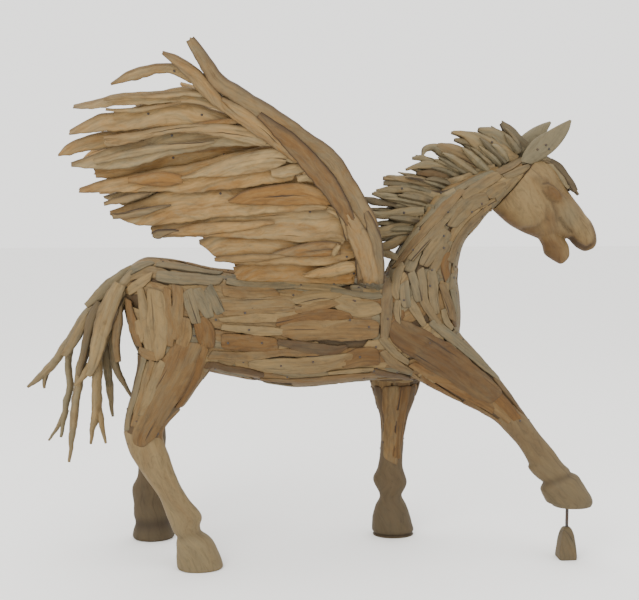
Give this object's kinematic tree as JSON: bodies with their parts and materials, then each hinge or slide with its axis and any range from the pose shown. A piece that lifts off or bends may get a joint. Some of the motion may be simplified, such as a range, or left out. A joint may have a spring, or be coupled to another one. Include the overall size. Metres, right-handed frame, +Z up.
{
  "type": "driftwood winged horse sculpture",
  "caption": "Life-size standing horse built of nailed driftwood planks, wings raised and swept back, one foreleg lifted on an iron rod in a wooden block.",
  "frame": {"origin": "on the floor, at the middle of the sculpture's footprint box", "axes": "+X towards the horse's head, +Y towards its left side, +Z up"},
  "size_m": [2.432, 1.0048, 2.1058],
  "materials": {
    "head": "pale teak-root driftwood, sanded",
    "right_ear": "pale teak-root driftwood, sanded",
    "left_ear": "pale teak-root driftwood, sanded",
    "forelock": "dark weathered driftwood",
    "neck_planks": "pale teak-root driftwood, sanded",
    "forequarter_planks": "pale teak-root driftwood, sanded",
    "barrel_planks": "pale teak-root driftwood, sanded",
    "hindquarter_planks": "grey weathered driftwood, unsealed",
    "right_foreleg_upper": "warm brown driftwood, sanded where carved",
    "right_foreleg_lower": "warm brown driftwood, sanded where carved",
    "left_foreleg_upper": "warm brown driftwood, sanded where carved",
    "left_foreleg_lower": "warm brown driftwood, sanded where carved",
    "right_hind_leg_upper": "warm brown driftwood, sanded where carved",
    "right_hind_leg_lower": "warm brown driftwood, sanded where carved",
    "left_hind_leg_upper": "warm brown driftwood, sanded where carved",
    "left_hind_leg_lower": "warm brown driftwood, sanded where carved",
    "support_rod": "rusted, rough",
    "support_block": "warm brown driftwood, sanded where carved",
    "mane_tuft_1": "grey weathered driftwood, unsealed",
    "mane_tuft_2": "grey weathered driftwood, unsealed",
    "mane_tuft_3": "grey weathered driftwood, unsealed",
    "mane_tuft_4": "grey weathered driftwood, unsealed",
    "mane_tuft_5": "grey weathered driftwood, unsealed",
    "mane_tuft_6": "grey weathered driftwood, unsealed",
    "tail_root_1": "grey weathered driftwood, unsealed",
    "tail_root_2": "grey weathered driftwood, unsealed",
    "tail_root_3": "grey weathered driftwood, unsealed",
    "tail_root_4": "grey weathered driftwood, unsealed",
    "tail_root_5": "grey weathered driftwood, unsealed",
    "tail_root_6": "grey weathered driftwood, unsealed",
    "right_wing_outer_spar": "grey weathered driftwood, unsealed",
    "right_wing_inner_spar": "grey weathered driftwood, unsealed",
    "right_wing_foot": "grey weathered driftwood, unsealed",
    "right_wing_sickle_feather": "warm brown driftwood, sanded where carved",
    "right_wing_feather_01": "warm brown driftwood, sanded where carved",
    "right_wing_feather_02": "warm brown driftwood, sanded where carved",
    "right_wing_feather_03": "warm brown driftwood, sanded where carved",
    "right_wing_feather_04": "warm brown driftwood, sanded where carved",
    "right_wing_feather_05": "warm brown driftwood, sanded where carved",
    "right_wing_feather_06": "warm brown driftwood, sanded where carved",
    "right_wing_feather_07": "warm brown driftwood, sanded where carved",
    "right_wing_feather_08": "warm brown driftwood, sanded where carved",
    "right_wing_feather_09": "warm brown driftwood, sanded where carved",
    "right_wing_feather_10": "warm brown driftwood, sanded where carved",
    "right_wing_feather_11": "warm brown driftwood, sanded where carved",
    "left_wing_outer_spar": "grey weathered driftwood, unsealed",
    "left_wing_inner_spar": "grey weathered driftwood, unsealed",
    "left_wing_foot": "grey weathered driftwood, unsealed",
    "left_wing_sickle_feather": "warm brown driftwood, sanded where carved",
    "left_wing_feather_01": "warm brown driftwood, sanded where carved",
    "left_wing_feather_02": "warm brown driftwood, sanded where carved",
    "left_wing_feather_03": "warm brown driftwood, sanded where carved",
    "left_wing_feather_04": "warm brown driftwood, sanded where carved",
    "left_wing_feather_05": "warm brown driftwood, sanded where carved",
    "left_wing_feather_06": "warm brown driftwood, sanded where carved",
    "left_wing_feather_07": "warm brown driftwood, sanded where carved",
    "left_wing_feather_08": "warm brown driftwood, sanded where carved",
    "left_wing_feather_09": "warm brown driftwood, sanded where carved",
    "left_wing_feather_10": "warm brown driftwood, sanded where carved",
    "left_wing_feather_11": "warm brown driftwood, sanded where carved"
  },
  "bodies": {
    "root": {"head": "head", "right_ear": "right_ear", "left_ear": "left_ear", "forelock": "forelock", "neck_planks": "neck_planks", "forequarter_planks": "forequarter_planks", "barrel_planks": "barrel_planks", "hindquarter_planks": "hindquarter_planks", "right_foreleg_upper": "right_foreleg_upper", "right_foreleg_lower": "right_foreleg_lower", "left_foreleg_upper": "left_foreleg_upper", "left_foreleg_lower": "left_foreleg_lower", "right_hind_leg_upper": "right_hind_leg_upper", "right_hind_leg_lower": "right_hind_leg_lower", "left_hind_leg_upper": "left_hind_leg_upper", "left_hind_leg_lower": "left_hind_leg_lower", "support_rod": "support_rod", "support_block": "support_block", "mane_tuft_1": "mane_tuft_1", "mane_tuft_2": "mane_tuft_2", "mane_tuft_3": "mane_tuft_3", "mane_tuft_4": "mane_tuft_4", "mane_tuft_5": "mane_tuft_5", "mane_tuft_6": "mane_tuft_6", "tail_root_1": "tail_root_1", "tail_root_2": "tail_root_2", "tail_root_3": "tail_root_3", "tail_root_4": "tail_root_4", "tail_root_5": "tail_root_5", "tail_root_6": "tail_root_6", "right_wing_outer_spar": "right_wing_outer_spar", "right_wing_inner_spar": "right_wing_inner_spar", "right_wing_foot": "right_wing_foot", "right_wing_sickle_feather": "right_wing_sickle_feather", "right_wing_feather_01": "right_wing_feather_01", "right_wing_feather_02": "right_wing_feather_02", "right_wing_feather_03": "right_wing_feather_03", "right_wing_feather_04": "right_wing_feather_04", "right_wing_feather_05": "right_wing_feather_05", "right_wing_feather_06": "right_wing_feather_06", "right_wing_feather_07": "right_wing_feather_07", "right_wing_feather_08": "right_wing_feather_08", "right_wing_feather_09": "right_wing_feather_09", "right_wing_feather_10": "right_wing_feather_10", "right_wing_feather_11": "right_wing_feather_11", "left_wing_outer_spar": "left_wing_outer_spar", "left_wing_inner_spar": "left_wing_inner_spar", "left_wing_foot": "left_wing_foot", "left_wing_sickle_feather": "left_wing_sickle_feather", "left_wing_feather_01": "left_wing_feather_01", "left_wing_feather_02": "left_wing_feather_02", "left_wing_feather_03": "left_wing_feather_03", "left_wing_feather_04": "left_wing_feather_04", "left_wing_feather_05": "left_wing_feather_05", "left_wing_feather_06": "left_wing_feather_06", "left_wing_feather_07": "left_wing_feather_07", "left_wing_feather_08": "left_wing_feather_08", "left_wing_feather_09": "left_wing_feather_09", "left_wing_feather_10": "left_wing_feather_10", "left_wing_feather_11": "left_wing_feather_11"}
  },
  "joints": []
}
